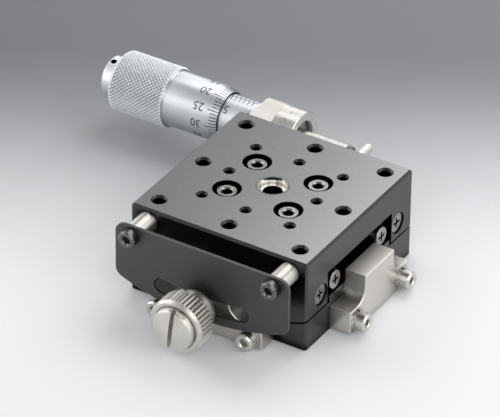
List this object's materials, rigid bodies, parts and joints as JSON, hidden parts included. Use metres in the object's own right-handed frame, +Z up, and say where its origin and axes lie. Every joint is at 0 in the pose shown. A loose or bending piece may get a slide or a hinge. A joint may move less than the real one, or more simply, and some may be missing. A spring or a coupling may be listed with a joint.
{
  "type": "goniometer stage",
  "caption": "Small square goniometer stage: a micrometer screw tilts the saddle table about a point above it on crossed-roller arcs; a knurled screw clamps it through a slotted plate.",
  "frame": {"origin": "centre of the base's bottom face", "axes": "+Z up through the centre bush, +X along the micrometer towards its spindle tip, -Y towards the clamp plate"},
  "size_m": [0.0845, 0.0737, 0.02],
  "materials": {
    "black_anodised": "satin black anodised aluminium",
    "black_oxide": "black oxide on alloy steel screws",
    "stainless": "turned stainless steel",
    "nickel_plate": "satin electroless nickel on milled steel",
    "satin_chrome": "satin chrome on turned steel",
    "bearing_steel": "ground and hardened bearing steel",
    "brass": "pierced brass strip",
    "spring_steel": "drawn spring wire",
    "carbide": "polished hard metal"
  },
  "bodies": {
    "base": {"base": "black_anodised", "inner_rails": "bearing_steel", "inner_rail_screws": "stainless", "base_stop_screws": "stainless", "end_block": "nickel_plate", "end_block_screws": "stainless", "clamp_block": "nickel_plate", "clamp_block_screws": "stainless", "spring_washers": "stainless", "micrometer_bracket": "nickel_plate", "bracket_screws": "stainless", "micrometer_sleeve": "satin_chrome", "ring_nut": "satin_chrome", "spring_anchor_pin": "stainless", "return_spring": "spring_steel"},
    "roller_cages": {"roller_cages": "brass", "rollers": "bearing_steel"},
    "table": {"table": "black_anodised", "outer_rails": "bearing_steel", "outer_rail_screws": "black_oxide", "table_stop_screws": "stainless", "centre_bush": "stainless", "bush_plate": "black_anodised", "bush_plate_screws": "stainless", "standoffs": "nickel_plate", "clamp_plate": "black_anodised", "clamp_plate_screws": "black_oxide", "contact_pin": "stainless"},
    "spindle": {"spindle": "stainless", "spindle_tip": "carbide"},
    "thimble": {"thimble": "satin_chrome", "thimble_cap": "satin_chrome"},
    "clamp_washer": {"clamp_washer": "stainless"},
    "clamp_screw": {"clamp_knob": "nickel_plate", "clamp_stud": "stainless"}
  },
  "joints": [
    {"name": "table_tilt", "type": "hinge", "parent": "base", "child": "table", "pos_m": [0, 0, 0.055], "axis": [0, -1, 0], "range_deg": [-8.02, 8.02], "deforming": ["return_spring"]},
    {"name": "cage_travel", "type": "hinge", "parent": "base", "child": "roller_cages", "pos_m": [0, 0, 0.055], "axis": [0, -1, 0], "range_deg": [-4.02, 4.02]},
    {"name": "spindle_feed", "type": "slide", "parent": "base", "child": "spindle", "axis": [1, 0, 0], "range_m": [-0.0065, 0.0065]},
    {"name": "thimble_turn", "type": "hinge", "parent": "spindle", "child": "thimble", "pos_m": [0, 0.0301, 0.01], "axis": [1, 0, 0], "range_deg": [-4523, 4523]},
    {"name": "clamp_feed", "type": "slide", "parent": "base", "child": "clamp_washer", "axis": [0, 1, 0], "range_m": [-0.001, 0.0015]},
    {"name": "clamp_turn", "type": "hinge", "parent": "clamp_washer", "child": "clamp_screw", "pos_m": [0, 0, 0.00715], "axis": [0, 1, 0], "range_deg": [-720, 1080]}
  ],
  "couplings": [
    {"joint": "table_tilt", "follows": "thimble_turn", "ratio": 0.0017684},
    {"joint": "cage_travel", "follows": "thimble_turn", "ratio": 0.00088419},
    {"joint": "spindle_feed", "follows": "thimble_turn", "m_per_rad": 0.000079577},
    {"joint": "clamp_feed", "follows": "clamp_turn", "m_per_rad": 0.000079577}
  ]
}
